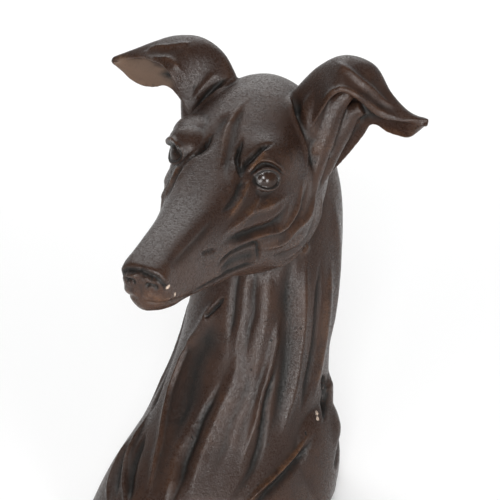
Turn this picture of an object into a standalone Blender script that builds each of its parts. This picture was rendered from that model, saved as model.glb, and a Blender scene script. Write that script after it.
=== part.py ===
"""A greyhound's head and neck on its chest, cut flat below: one cast piece.

The chest faces -Y, the dog's left is +X, and the head turns a little to its left.
The head is drawn on a scale of parts: 220 parts make its length from nose to nape.
"""
import math

import bmesh
import bpy
import numpy as np
from mathutils import Matrix, Vector

# Driving sizes, in metres and degrees
HEAD_LENGTH = 0.220
EYE_HEIGHT = 0.262
CHEST_WIDTH = 0.136
CHEST_DEPTH = 0.196
EAR_WALL = 0.0055
EYE_DIAMETER = 0.0170
NECK_SLIT_WIDTH = 0.0050
NECK_SLIT_DEPTH = 0.0090
HEAD_TURN = 21.0
HEAD_NOD = 12.0
HEAD_TILT = 4.5

PART = HEAD_LENGTH / 220
CLAY_GRAIN = 0.0012
TRIANGLES = 9600
RIM_ANGLE = 60.0

# Head sections from nose to nape, in parts from the point between the eyes:
# ahead, top, half-width at the widest, height of the widest, bottom, squareness above, below
HEAD_SECTIONS = (
    (114, -7, 6.0, -14, -22, 2.4, 2.2),
    (111, -3.5, 12.0, -13, -30, 2.8, 2.2),
    (106, -2.5, 14.5, -15, -36, 3.2, 2.4),
    (96, -1.5, 15.5, -20, -42, 3.3, 2.6),
    (80, -0.5, 16.5, -24, -47, 3.3, 2.8),
    (60, 0.5, 19.0, -28, -54, 3.1, 3.0),
    (40, 2.5, 23.0, -28, -61, 2.8, 3.2),
    (20, 7.0, 28.5, -26, -68, 2.4, 3.2),
    (0, 13.0, 35.0, -26, -79, 2.2, 3.2),
    (-20, 19.0, 41.5, -30, -88, 2.4, 3.2),
    (-40, 24.0, 46.0, -34, -90, 2.4, 2.9),
    (-60, 27.5, 47.0, -36, -86, 2.2, 2.5),
    (-80, 26.0, 43.5, -34, -74, 2.0, 2.2),
    (-96, 15.0, 36.0, -28, -58, 2.0, 2.0),
    (-108, -6.0, 20.0, -24, -42, 2.0, 2.0),
)

# Neck and chest sections from the cut to the nape: share of the eyes' height,
# middle behind the eyes in parts, half-depth and half-width as shares of the chest's
NECK_SECTIONS = (
    (-0.12, 20, 1.08, 1.04),
    (0.00, 22, 1.06, 1.03),
    (0.12, 31, 0.94, 0.96),
    (0.26, 48, 0.72, 0.83),
    (0.41, 62, 0.58, 0.74),
    (0.56, 73, 0.555, 0.70),
    (0.71, 83, 0.54, 0.61),
    (0.85, 88, 0.48, 0.50),
    (0.96, 86, 0.37, 0.40),
    (1.03, 82, 0.20, 0.26),
)

# Ear sections from the skull to the tip, in parts and as if on the head's left side:
# the front rim, the ridge of the back and the rear rim, each as left, ahead, up
LEFT_EAR_SECTIONS = (
    ((34, -46, -8), (20, -72, 20), (42, -84, -44)),
    ((46, -50, 20), (36, -80, 38), (56, -83, -24)),
    ((57, -52, 40), (53, -85, 47), (67, -81, -6)),
    ((70, -57, 35), (71, -86, 44), (73, -80, 4)),
    ((82, -65, 20), (84, -82, 29), (86, -79, 2)),
    ((97, -68, 18), (99, -76, 21), (100, -76, 4)),
    ((113, -71, 21), (114, -73, 20), (112, -73, 15)),
)
RIGHT_EAR_SECTIONS = (
    ((34, -46, -8), (14, -68, 20), (42, -84, -44)),
    ((49, -50, 10), (31, -80, 35), (58, -83, -22)),
    ((57, -50, 29), (49, -84, 42), (68, -81, -4)),
    ((70, -57, 33), (67, -83, 40), (76, -80, 2)),
    ((84, -66, 29), (82, -81, 33), (89, -79, 0)),
    ((98, -69, 24), (97, -77, 26), (101, -77, 5)),
    ((111, -71, 20), (112, -73, 21), (112, -73, 16)),
)

# Shoulder blades beside the neck: middle as left, behind, up, then the half-sizes
SHOULDER_MIDDLE = (0.034, 0.062, 0.030)
SHOULDER_SIZE = (0.032, 0.042, 0.060)

# Each eye on the head's scale: its middle, where it looks, and the opening of its lids
# and of the fold above them as tangents towards the nose, the ear, up and down
EYE_MIDDLE = (28.3, -3, 0.3)
EYE_GAZE = (0.66, 0.66, 0.36)
LID_OPENING = (1.5, 1.1, 0.72, 0.66)
FOLD_OPENING = (2.2, 1.9, 1.35, 1.25)
LID_THICKNESS = 1.6

# Swellings of both sides of the head in parts: left, ahead, up, radius, height
HEAD_SWELLS = (
    (30, -9, 17, 13, 8.0),
    (32, -9, 0, 15, 3.0),
    (33, 2, 1, 9, -4.0),
    (36, -26, 4, 12, 3.0),
    (39, -30, -20, 12, 1.5),
    (36, 2, -34, 14, 2.0),
    (40, -34, -62, 20, 2.5),
    (17, 84, -26, 12, 1.5),
    (13, 108, -12, 5, 1.8),
    (26, 40, -34, 14, 1.5),
)

# Lines worked into both sides of the head: half-width and height in parts, cut where
# the height is negative, then the points of the line as left, ahead, up
HEAD_LINES = {
    "brow crease": (1.8, -3.6, ((21, 12, 2), (23, 9, 10), (26, 3, 17), (31, -8, 22))),
    "brow hollow": (4.5, -2.2, ((12, -2, 15), (15, 4, 11), (20, 14, 4))),
    "brow edge": (3.0, 2.0, ((8, -10, 17), (10, 4, 12), (14, 18, 6))),
    "tear line": (2.6, -3.0, ((23, 15, 0), (22, 25, -3), (20, 39, -9))),
    "muzzle side": (5.0, -3.0, ((14, 104, -11), (16, 72, -13), (19, 45, -13), (22, 26, -6))),
    "temple": (6.0, -5.0, ((34, -57, 19), (38, -50, 8), (42, -50, -6))),
    "temple edge": (3.0, 2.4, ((23, -62, 22), (30, -51, 13), (38, -43, 0))),
    "cheek bone": (3.6, 3.6, ((21, 48, -17), (27, 31, -19), (33, 11, -21), (38, -6, -20))),
    "cheek hollow": (4.5, -4.2, ((24, 38, -26), (30, 20, -29), (38, -9, -29))),
    "cheek fold": (3.6, 4.2, ((24, 40, -34), (32, 5, -40), (40, -20, -46), (46, -36, -32))),
    "jaw muscle": (3.2, 2.6, ((38, -12, -42), (43, -25, -34), (46, -35, -20))),
    "jaw edge": (4.0, 3.0, ((34, -20, -82), (42, -41, -80), (46, -55, -68), (46, -55, -34))),
    "jaw step": (3.0, -2.2, ((36, 0, -60), (38, -20, -70), (42, -38, -66), (44, -46, -48))),
    "mouth": (1.8, -4.0, ((15, 76, -42), (20, 60, -45), (25, 38, -49), (29, 18, -53))),
    "mouth corner": (4.0, -5.0, ((24, 40, -43), (28, 25, -45), (31, 12, -49))),
    "nose edge": (1.8, -2.2, ((0, 111, -3), (7, 110, -4), (12, 108, -7), (14, 105, -14))),
    "nostril": (2.2, -4.4, ((5, 115, -13), (8, 114, -13), (11, 111, -15))),
    "lip": (1.6, -2.4, ((2, 111, -29), (9, 106, -33), (14, 96, -37), (15, 76, -42))),
}
FURROW = (3.0, -2.6, ((0, -47, 25), (0, -30, 22), (0, -14, 18), (0, 4, 12)))
PHILTRUM = (1.6, -1.8, ((0, 116, -14), (0, 115, -20), (0, 110, -29)))

# Flutes of the neck: half-width and height in parts, then share of the eyes' height and
# degrees round the neck from the throat towards the left
FRONT_FLUTES = {
    "throat cord": (5.0, 4.2, ((0.62, 8), (0.49, -12), (0.38, -22), (0.26, -8), (0.16, 8))),
    "throat groove": (5.0, -4.4, ((0.60, -10), (0.47, -27), (0.36, -37), (0.22, -20), (0.13, 0))),
    "under the chin": (3.0, -4.0, ((0.63, 16), (0.56, 3), (0.50, -4))),
    "front groove": (4.5, -3.6, ((0.62, 21), (0.54, 23), (0.44, 10), (0.30, 2))),
    "second groove": (4.5, -4.2, ((0.66, 33), (0.58, 36), (0.46, 27), (0.32, 18), (0.16, 22))),
    "chest fold": (4.0, -3.6, ((0.36, 36), (0.24, 38), (0.12, 42))),
    "far cord": (6.0, 3.0, ((0.58, -34), (0.42, -52), (0.26, -44), (0.10, -26))),
    "far groove": (5.0, -3.6, ((0.60, -48), (0.42, -66), (0.26, -60), (0.10, -44))),
}
SIDE_FLUTES = {
    "long cord": (6.0, 3.8, ((0.64, 44), (0.50, 55), (0.37, 56), (0.22, 54))),
    "long groove": (5.0, -4.6, ((0.67, 58), (0.46, 68), (0.33, 66), (0.15, 57))),
    "rear cord": (6.0, 3.6, ((0.66, 72), (0.50, 82), (0.34, 80), (0.20, 70))),
    "rear groove": (5.0, -3.6, ((0.72, 88), (0.50, 96), (0.36, 95))),
    "nape cord": (8.0, 2.0, ((0.80, 108), (0.55, 122), (0.36, 128))),
}
# The edge of each shoulder, on the same scale, and the crease behind it
SHOULDER_LINES = {
    "shoulder edge": (3.6, 4.4, ((0.28, 106), (0.22, 94), (0.18, 76), (0.08, 54))),
    "shoulder groove": (3.2, -3.6, ((0.25, 102), (0.19, 86), (0.14, 66), (0.06, 48))),
    "withers crease": (3.5, -3.4, ((0.18, 128), (0.10, 120))),
}
SLIT = ((0.345, 112), (0.32, 121), (0.29, 123), (0.265, 114))


def clear_scene():
    for thing in list(bpy.data.objects):
        bpy.data.objects.remove(thing, do_unlink=True)


def curve_through(rows, where):
    """Carries the rows of a table through a smooth curve in their first column."""
    table = np.array(rows, float)
    table = table[np.argsort(table[:, 0])]
    at, values = table[:, 0], table[:, 1:]
    slopes = np.gradient(values, at, axis=0)
    where = np.clip(where, at[0], at[-1])
    cell = np.clip(np.searchsorted(at, where, side="right") - 1, 0, len(at) - 2)
    gap = (at[cell + 1] - at[cell])[:, None]
    t = (where - at[cell])[:, None] / gap
    between = (2 * t**3 - 3 * t**2 + 1) * values[cell] + (3 * t**2 - 2 * t**3) * values[cell + 1]
    return between + gap * ((t**3 - 2 * t**2 + t) * slopes[cell] + (t**3 - t**2) * slopes[cell + 1])


def through(points, count):
    """A smooth run of count points through stations that follow one another."""
    stations = np.array(points, float)
    order = np.arange(len(stations))
    rows = np.column_stack([order, stations.reshape(len(stations), -1)])
    run = curve_through(rows, np.linspace(0, order[-1], count))
    return run.reshape(count, *stations.shape[1:])


def closed_tube(name, rings):
    """Skins rings of equal count, with a fan of faces on a middle point at each end."""
    rows, around, _ = rings.shape
    points = np.vstack([rings.reshape(-1, 3), rings[0].mean(0), rings[-1].mean(0)])
    low = np.arange(around)
    high = (low + 1) % around
    faces = []
    for row in range(rows - 1):
        start, end = row * around, (row + 1) * around
        faces += np.stack([start + low, start + high, end + high, end + low], 1).tolist()
    first, last = rows * around, rows * around + 1
    faces += np.stack([np.full(around, first), high, low], 1).tolist()
    final = (rows - 1) * around
    faces += np.stack([np.full(around, last), final + low, final + high], 1).tolist()
    mesh = bpy.data.meshes.new(name)
    mesh.from_pydata(points.tolist(), [], faces)
    shape = bmesh.new()
    shape.from_mesh(mesh)
    bmesh.ops.recalc_face_normals(shape, faces=shape.faces)
    shape.to_mesh(mesh)
    shape.free()
    return mesh


def ball(name, middle, radii):
    shape = bmesh.new()
    bmesh.ops.create_uvsphere(shape, u_segments=32, v_segments=20, radius=1)
    place = Matrix.Translation(Vector(middle)) @ Matrix.Diagonal((*radii, 1))
    bmesh.ops.transform(shape, matrix=place, verts=shape.verts)
    mesh = bpy.data.meshes.new(name)
    shape.to_mesh(mesh)
    shape.free()
    return mesh


def head_frame():
    """Place of the head: turned, nodded and tilted on the top of the neck."""
    turn = Matrix.Rotation(math.radians(HEAD_TURN), 4, "Z")
    nod = Matrix.Rotation(math.radians(HEAD_NOD), 4, "X")
    tilt = Matrix.Rotation(math.radians(HEAD_TILT), 4, "Y")
    lean = turn @ nod @ tilt
    pivot = lean @ Vector((0, 75 * PART, -35 * PART))
    return Matrix.Translation((-pivot.x, 0, EYE_HEIGHT)) @ lean


def head_rings():
    """Sections across the head: half-ovals above and below the widest line, squared off."""
    ahead = np.linspace(HEAD_SECTIONS[-1][0], HEAD_SECTIONS[0][0], 110)
    top, half, widest, bottom, above, below = curve_through(HEAD_SECTIONS, ahead).T
    angle = np.linspace(0, 2 * math.pi, 80, endpoint=False)
    upper = np.sin(angle) >= 0
    power = 2 / np.where(upper, above[:, None], below[:, None])
    rise = np.where(upper, (top - widest)[:, None], (widest - bottom)[:, None])
    x = half[:, None] * np.sign(np.cos(angle)) * np.abs(np.cos(angle)) ** power
    z = widest[:, None] + rise * np.sign(np.sin(angle)) * np.abs(np.sin(angle)) ** power
    y = np.repeat(-ahead[:, None], len(angle), 1)
    return np.stack([x, y, z], 2) * PART


def neck_surface(level, degrees):
    """The point of the neck's oval at a share of the eyes' height, turned from the throat."""
    level = np.atleast_1d(level).astype(float)
    middle, depth, width = curve_through(NECK_SECTIONS, level).T
    angle = np.radians(degrees)
    x = width * CHEST_WIDTH / 2 * np.sin(angle)
    y = middle * PART - depth * CHEST_DEPTH / 2 * np.cos(angle)
    return np.stack([x, y, level * EYE_HEIGHT], -1)


def neck_rings():
    levels = np.linspace(NECK_SECTIONS[0][0], NECK_SECTIONS[-1][0], 80)
    degrees = np.linspace(0, 360, 80, endpoint=False)
    return np.stack([neck_surface(levels, turn) for turn in degrees], 1)


def ear_rings(sections, side):
    """Bends each section from rim over ridge to rim, and lays the wall on its hollow side."""
    front, ridge, rear = np.moveaxis(through(sections, 60), 1, 0)
    pull = 2 * ridge - (front + rear) / 2
    u = np.linspace(0, 1, 24)[None, :, None]
    back = (1 - u) ** 2 * front[:, None] + 2 * u * (1 - u) * pull[:, None] + u**2 * rear[:, None]
    inward = np.cross(np.gradient(back, axis=0), np.gradient(back, axis=1))
    inward /= np.linalg.norm(inward, axis=2, keepdims=True)
    middle = (front + rear)[:, None] / 2
    inward *= np.sign(np.sum(inward * (middle - ridge[:, None]), axis=2, keepdims=True))
    edge = np.sqrt(np.clip(1 - (2 * u - 1) ** 6, 0.06, 1))
    hollow = back + inward * EAR_WALL / PART * edge
    loop = np.concatenate([back, hollow[:, ::-1]], 1) * PART
    return loop * (side, -1, 1)


def fused(name, meshes, grain, softenings):
    """Melts overlapping closed meshes into one softened skin of even grain."""
    pool = bmesh.new()
    for mesh in meshes:
        pool.from_mesh(mesh)
    together = bpy.data.meshes.new(name)
    pool.to_mesh(together)
    pool.free()
    lump = bpy.data.objects.new(name, together)
    bpy.context.scene.collection.objects.link(lump)
    melt = lump.modifiers.new("melt", "REMESH")
    melt.mode = "VOXEL"
    melt.voxel_size = grain
    soften = lump.modifiers.new("soften", "SMOOTH")
    soften.factor = 0.5
    soften.iterations = softenings
    graph = bpy.context.evaluated_depsgraph_get()
    skin = bpy.data.meshes.new_from_object(lump.evaluated_get(graph))
    bpy.data.objects.remove(lump, do_unlink=True)
    return skin


def vertices_of(mesh):
    flat = np.empty(len(mesh.vertices) * 3, np.float32)
    mesh.vertices.foreach_get("co", flat)
    return flat.reshape(-1, 3).astype(float)


def normals_of(mesh):
    flat = np.empty(len(mesh.vertices) * 3, np.float32)
    mesh.vertices.foreach_get("normal", flat)
    return flat.reshape(-1, 3).astype(float)


def work_line(points, normals, lift, path, width, height):
    """Adds to lift a soft line along the path, faded at its ends and cut where height is
    negative. Distance is measured in the surface, across each point's normal."""
    run = through(path, 24)
    reach = 3 * width
    near = np.all((points > run.min(0) - reach) & (points < run.max(0) + reach), axis=1)
    here, out = points[near], normals[near]
    closest = np.full(len(here), np.inf)
    share = np.zeros(len(here))
    for i, (start, end) in enumerate(zip(run[:-1], run[1:])):
        step = end - start
        along = np.clip((here - start) @ step / (step @ step), 0, 1)
        offset = here - start - along[:, None] * step
        depth = np.sum(offset * out, axis=1)
        across = np.sum(offset * offset, axis=1) - depth**2 + (depth / 3) ** 2
        better = across < closest
        closest[better] = across[better]
        share[better] = (i + along[better]) / (len(run) - 1)
    fade = np.clip(np.minimum(share, 1 - share) * 5, 0, 1)
    fade = 0.15 + 0.85 * fade * fade * (3 - 2 * fade)
    lift[near] += height * fade * np.exp(-closest / width**2)


def work_swell(points, lift, middle, radius, height):
    away = np.sum((points - middle) ** 2, axis=1)
    lift += height * np.exp(-away / radius**2)


def eye_axes(side):
    """The eye's middle and its directions: towards the nose, upwards and outwards."""
    gaze = Vector((side * EYE_GAZE[0], -EYE_GAZE[1], EYE_GAZE[2])).normalized()
    nose = Vector((-side * 0.5, -0.8, 0.33))
    nose = (nose - nose.dot(gaze) * gaze).normalized()
    up = nose.cross(gaze) * side
    middle = Vector((side * EYE_MIDDLE[0], -EYE_MIDDLE[1], EYE_MIDDLE[2])) * PART
    return middle, nose, up, gaze


def lid_rings(side, opening, proud, thick):
    """A round cord laid on the ball, where an oval of the given tangents meets it."""
    middle, nose, up, gaze = (np.array(axis) for axis in eye_axes(side))
    turn = np.linspace(0, 2 * math.pi, 48, endpoint=False)[:, None]
    inner, outer, high, low = opening
    wide = np.where(np.cos(turn) > 0, inner, outer) * np.cos(turn)
    rise = np.where(np.sin(turn) > 0, high, low) * np.sin(turn)
    ray = gaze + wide * nose + rise * up
    ray /= np.linalg.norm(ray, axis=1, keepdims=True)
    spine = middle + ray * (EYE_DIAMETER / 2 + proud * PART)
    run = np.roll(spine, -1, 0) - np.roll(spine, 1, 0)
    run /= np.linalg.norm(run, axis=1, keepdims=True)
    out = np.cross(run, ray)
    around = np.linspace(0, 2 * math.pi, 12, endpoint=False)[None, :, None]
    tube = np.cos(around) * ray[:, None] + np.sin(around) * out[:, None]
    return spine[:, None] + tube * thick * PART


def looped_tube(name, rings):
    """Skins rings of equal count into a closed loop."""
    rows, around, _ = rings.shape
    row, turn = np.meshgrid(np.arange(rows), np.arange(around), indexing="ij")
    next_row, next_turn = (row + 1) % rows, (turn + 1) % around
    corners = [row * around + turn, row * around + next_turn]
    corners += [next_row * around + next_turn, next_row * around + turn]
    faces = np.stack(corners, 2).reshape(-1, 4).tolist()
    mesh = bpy.data.meshes.new(name)
    mesh.from_pydata(rings.reshape(-1, 3).tolist(), [], faces)
    shape = bmesh.new()
    shape.from_mesh(mesh)
    bmesh.ops.recalc_face_normals(shape, faces=shape.faces)
    shape.to_mesh(mesh)
    shape.free()
    return mesh


def on_head(head_place, path, side=1):
    """Moves points from the head's scale of parts, with ahead as -Y, to the model."""
    local = np.array(path, float) * (side, -1, 1) * PART
    place = np.array(head_place)
    return local @ place[:3, :3].T + place[:3, 3]


def on_neck(path, side=1):
    return np.array([neck_surface(level, side * turn)[0] for level, turn in path])


def carve(mesh, head_place):
    """Works every swelling, line and flute into the skin, each along its own normals."""
    points = vertices_of(mesh)
    normals = normals_of(mesh)
    lift = np.zeros(len(points))
    for side in (1, -1):
        for left, ahead, up, radius, height in HEAD_SWELLS:
            middle = on_head(head_place, [(left, ahead, up)], side)[0]
            work_swell(points, lift, middle, radius * PART, height * PART)
        for width, height, path in HEAD_LINES.values():
            line = on_head(head_place, path, side)
            work_line(points, normals, lift, line, width * PART, height * PART)
        for width, height, path in (*SIDE_FLUTES.values(), *SHOULDER_LINES.values()):
            line = on_neck(path, side)
            work_line(points, normals, lift, line, width * PART, height * PART)
    for width, height, path in FRONT_FLUTES.values():
        work_line(points, normals, lift, on_neck(path), width * PART, height * PART)
    for width, height, path in (FURROW, PHILTRUM):
        line = on_head(head_place, path)
        work_line(points, normals, lift, line, width * PART, height * PART)
    work_line(points, normals, lift, on_neck(SLIT), NECK_SLIT_WIDTH / 2, -NECK_SLIT_DEPTH)
    points += normals * lift[:, None]
    mesh.vertices.foreach_set("co", points.astype(np.float32).ravel())
    mesh.update()


def resin_material():
    material = bpy.data.materials.new("patinated_resin")
    material.use_nodes = True
    shader = material.node_tree.nodes["Principled BSDF"]
    shader.inputs["Base Color"].default_value = (0.064, 0.047, 0.040, 1)
    shader.inputs["Roughness"].default_value = 0.45
    shader.inputs["Metallic"].default_value = 0.0
    return material


def cut_box():
    """A box that takes away all that lies below the flat underside."""
    size = 4 * CHEST_DEPTH
    shape = bmesh.new()
    bmesh.ops.create_cube(shape, size=size)
    bmesh.ops.translate(shape, verts=shape.verts, vec=(0, 0, -size / 2))
    mesh = bpy.data.meshes.new("ground_cutter")
    shape.to_mesh(mesh)
    shape.free()
    return mesh


def solid_of(thing):
    graph = bpy.context.evaluated_depsgraph_get()
    return bpy.data.meshes.new_from_object(thing.evaluated_get(graph))


def build():
    place = head_frame()
    shapes = [closed_tube("head", head_rings())]
    for side, sections in ((1, LEFT_EAR_SECTIONS), (-1, RIGHT_EAR_SECTIONS)):
        shapes.append(closed_tube("ear", ear_rings(sections, side)))
    for mesh in shapes:
        mesh.transform(place)
    shapes.append(closed_tube("neck", neck_rings()))
    for side in (1, -1):
        middle = (side * SHOULDER_MIDDLE[0], *SHOULDER_MIDDLE[1:])
        shapes.append(ball("shoulder", middle, SHOULDER_SIZE))
    clay = fused("clay", shapes, CLAY_GRAIN, 5)
    carve(clay, place)
    eyes = []
    for side in (1, -1):
        eyes.append(ball("eye", eye_axes(side)[0], (EYE_DIAMETER / 2,) * 3))
        eyes.append(looped_tube("lids", lid_rings(side, LID_OPENING, 0.6, LID_THICKNESS)))
        eyes.append(looped_tube("fold", lid_rings(side, FOLD_OPENING, 1.4, LID_THICKNESS)))
    for mesh in eyes:
        mesh.transform(place)
    return fused("bust", [clay, *eyes], CLAY_GRAIN, 2), place


clear_scene()
parts = bpy.data.collections.new("greyhound_statue")
cutters = bpy.data.collections.new("cutters")
for group in (parts, cutters):
    bpy.context.scene.collection.children.link(group)

skin, head_place = build()
bust = bpy.data.objects.new("greyhound_bust", skin)
parts.objects.link(bust)
ground = bpy.data.objects.new("ground_cutter", cut_box())
ground.hide_render = True
ground.display_type = "WIRE"
cutters.objects.link(ground)

facets = bust.modifiers.new("facets", "DECIMATE")
facets.ratio = TRIANGLES / (2 * len(skin.polygons))
underside = bust.modifiers.new("flat underside", "BOOLEAN")
underside.operation = "DIFFERENCE"
underside.object = ground
cast = solid_of(bust)
bust.modifiers.clear()
bust.data = cast

corners = vertices_of(cast)
middle = (corners.min(0) + corners.max(0)) / 2
over_origin = Matrix.Translation((-middle[0], -middle[1], 0))
cast.transform(over_origin)
head_place = over_origin @ head_place
cast.materials.clear()
cast.materials.append(resin_material())
cast.shade_smooth()
cast.set_sharp_from_angle(angle=math.radians(RIM_ANGLE))
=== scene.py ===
# Greyhound's head and neck on its chest, cast in resin and patinated dark brown.
# Metres throughout. The head is drawn in parts: 220 parts run from its nose to its nape.
import math

import bmesh
import bpy
import numpy as np
from mathutils import Matrix, Vector


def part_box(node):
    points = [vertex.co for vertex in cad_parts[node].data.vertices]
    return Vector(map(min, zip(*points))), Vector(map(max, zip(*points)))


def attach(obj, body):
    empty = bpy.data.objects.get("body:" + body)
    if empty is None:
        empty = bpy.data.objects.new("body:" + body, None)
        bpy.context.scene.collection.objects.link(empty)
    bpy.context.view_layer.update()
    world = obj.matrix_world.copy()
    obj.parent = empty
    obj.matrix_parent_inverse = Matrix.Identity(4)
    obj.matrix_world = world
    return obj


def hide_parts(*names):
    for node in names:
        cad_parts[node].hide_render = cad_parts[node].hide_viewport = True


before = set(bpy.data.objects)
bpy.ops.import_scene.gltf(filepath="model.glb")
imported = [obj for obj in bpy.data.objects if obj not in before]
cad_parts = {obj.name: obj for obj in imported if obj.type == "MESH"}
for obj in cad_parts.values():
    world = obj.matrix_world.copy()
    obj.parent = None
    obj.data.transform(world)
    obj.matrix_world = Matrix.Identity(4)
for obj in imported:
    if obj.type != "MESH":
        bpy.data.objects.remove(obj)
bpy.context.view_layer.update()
print("frame loaded")

headPlace = {
    "length": 0.220,            # nose to nape
    "eyeHeight": 0.262,         # above the flat underside
    "turn": 21.0,               # degrees, towards the dog's left
    "nod": 12.0,
    "tilt": 4.5,
    "pivot": (75, -35),         # top of the neck, behind and above the eyes' middle, in parts
}
part = headPlace["length"] / 220

casting = {
    "grain": 0.00070,     # voxel of the fused skin
    "sampling": 0.0011,         # cells in which worked and final points are matched
    "softenings": 12,           # of the fused forms, then of the skin with its eyes
    "finalSoftenings": 1,
    "softness": 0.5,
    "triangles": 200000,   # most that the finished skin may keep
    "sharp": 60,                # degrees: edges that turn by more stay sharp
    "inset": 0.0003,            # the skin stays this far inside the solid's box
    "pressed": 0.012,           # depth over which what is proud of the box is pressed in
}


def curveThrough(rows, where):
    # cubic Hermite curve through the rows, in their first column, slopes from neighbours
    table = np.array(rows, float)
    table = table[np.argsort(table[:, 0])]
    at, values = table[:, 0], table[:, 1:]
    slopes = np.gradient(values, at, axis=0)
    where = np.clip(where, at[0], at[-1])
    cell = np.clip(np.searchsorted(at, where, side="right") - 1, 0, len(at) - 2)
    gap = (at[cell + 1] - at[cell])[:, None]
    t = (where - at[cell])[:, None] / gap
    between = (2 * t**3 - 3 * t**2 + 1) * values[cell] + (3 * t**2 - 2 * t**3) * values[cell + 1]
    return between + gap * ((t**3 - 2 * t**2 + t) * slopes[cell] + (t**3 - t**2) * slopes[cell + 1])


def through(points, count):
    # the same curve through stations that follow one another, count points along it
    stations = np.array(points, float)
    order = np.arange(len(stations))
    rows = np.column_stack([order, stations.reshape(len(stations), -1)])
    return curveThrough(rows, np.linspace(0, order[-1], count)).reshape(count, *stations.shape[1:])


def gridMesh(name, rings, looped=False):
    # quads over rings of equal count, joined end to end or closed by a fan at each end
    rows, around, _ = rings.shape
    points = rings.reshape(-1, 3)
    row, turn = np.meshgrid(np.arange(rows if looped else rows - 1), np.arange(around), indexing="ij")
    nextRow, nextTurn = (row + 1) % rows, (turn + 1) % around
    corners = [row * around + turn, row * around + nextTurn]
    corners += [nextRow * around + nextTurn, nextRow * around + turn]
    faces = np.stack(corners, 2).reshape(-1, 4).tolist()
    if not looped:
        points = np.vstack([points, rings[0].mean(0), rings[-1].mean(0)])
        low = np.arange(around)
        high = (low + 1) % around
        final = (rows - 1) * around
        faces += np.stack([np.full(around, rows * around), high, low], 1).tolist()
        faces += np.stack([np.full(around, rows * around + 1), final + low, final + high], 1).tolist()
    mesh = bpy.data.meshes.new(name)
    mesh.from_pydata(points.tolist(), [], faces)
    shape = bmesh.new()
    shape.from_mesh(mesh)
    bmesh.ops.recalc_face_normals(shape, faces=shape.faces)
    shape.to_mesh(mesh)
    shape.free()
    return mesh


def ovalMesh(name, middle, radii, rings=24, count=48):
    # sphere grid by latitude and longitude, stretched by the three radii
    up = np.linspace(-math.pi / 2, math.pi / 2, rings + 2)[1:-1, None]
    around = np.linspace(0, 2 * math.pi, count, endpoint=False)[None, :]
    x, y = np.cos(up) * np.cos(around), np.cos(up) * np.sin(around)
    return gridMesh(name, np.stack([x, y, np.sin(up) + 0 * around], 2) * radii + middle)


headForm = {
    # ahead, top, half-width at the widest, height of the widest, bottom, squareness above, below
    "sections": (
        (114, -7, 6.0, -14, -22, 2.4, 2.2),
        (111, -3.5, 12.0, -13, -30, 2.8, 2.2),
        (106, -2.5, 14.5, -15, -36, 3.2, 2.4),
        (96, -1.5, 15.5, -20, -42, 3.3, 2.6),
        (80, -0.5, 16.5, -24, -47, 3.3, 2.8),
        (60, 0.5, 19.0, -28, -54, 3.1, 3.0),
        (40, 2.5, 23.0, -28, -61, 2.8, 3.2),
        (20, 7.0, 28.5, -26, -68, 2.4, 3.2),
        (0, 13.0, 35.0, -26, -79, 2.2, 3.2),
        (-20, 19.0, 41.5, -30, -88, 2.4, 3.2),
        (-40, 24.0, 46.0, -34, -90, 2.4, 2.9),
        (-60, 27.5, 47.0, -36, -86, 2.2, 2.5),
        (-80, 26.0, 43.5, -34, -74, 2.0, 2.2),
        (-96, 15.0, 36.0, -28, -58, 2.0, 2.0),
        (-108, -6.0, 20.0, -24, -42, 2.0, 2.0),
    ),
    "rings": 140,
    "around": 120,
}


def headToModel():
    # from the point between the eyes: turned, nodded and tilted, then moved sideways until the
    # pivot is on the centre line, and up to the eyes' height
    turn = Matrix.Rotation(math.radians(headPlace["turn"]), 4, "Z")
    nod = Matrix.Rotation(math.radians(headPlace["nod"]), 4, "X")
    tilt = Matrix.Rotation(math.radians(headPlace["tilt"]), 4, "Y")
    lean = turn @ nod @ tilt
    behind, above = headPlace["pivot"]
    pivot = lean @ Vector((0, behind * part, above * part))
    return Matrix.Translation((-pivot.x, 0, headPlace["eyeHeight"])) @ lean


def headSurface():
    # each section is two half-ovals, above and below its widest line, squared by a power
    ahead = np.linspace(headForm["sections"][-1][0], headForm["sections"][0][0], headForm["rings"])
    top, half, widest, bottom, above, below = curveThrough(headForm["sections"], ahead).T
    angle = np.linspace(0, 2 * math.pi, headForm["around"], endpoint=False)
    upper = np.sin(angle) >= 0
    power = 2 / np.where(upper, above[:, None], below[:, None])
    rise = np.where(upper, (top - widest)[:, None], (widest - bottom)[:, None])
    x = half[:, None] * np.sign(np.cos(angle)) * np.abs(np.cos(angle)) ** power
    z = widest[:, None] + rise * np.sign(np.sin(angle)) * np.abs(np.sin(angle)) ** power
    y = np.repeat(-ahead[:, None], len(angle), 1)
    return np.stack([x, y, z], 2) * part


neckForm = {
    "chestWidth": 0.136,
    "chestDepth": 0.196,
    # share of the eyes' height, middle behind the eyes in parts, half-depth and half-width
    # as shares of the chest's
    "sections": (
        (-0.12, 20, 1.08, 1.04),
        (0.00, 22, 1.06, 1.03),
        (0.12, 31, 0.94, 0.96),
        (0.26, 48, 0.72, 0.83),
        (0.41, 62, 0.58, 0.74),
        (0.56, 73, 0.555, 0.70),
        (0.71, 83, 0.54, 0.61),
        (0.85, 88, 0.48, 0.50),
        (0.96, 86, 0.37, 0.40),
        (1.03, 82, 0.20, 0.26),
    ),
    "shoulder": {"middle": (0.034, 0.062, 0.030), "radii": (0.032, 0.042, 0.060)},
    "rings": 120,
    "around": 120,
}


def neckSurface(level, degrees):
    # oval of the section at that level, turned by degrees from the throat towards the left
    level = np.atleast_1d(level).astype(float)
    middle, depth, width = curveThrough(neckForm["sections"], level).T
    angle = np.radians(degrees)
    x = width * neckForm["chestWidth"] / 2 * np.sin(angle)
    y = middle * part - depth * neckForm["chestDepth"] / 2 * np.cos(angle)
    return np.stack([x, y, level * headPlace["eyeHeight"]], -1)


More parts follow.
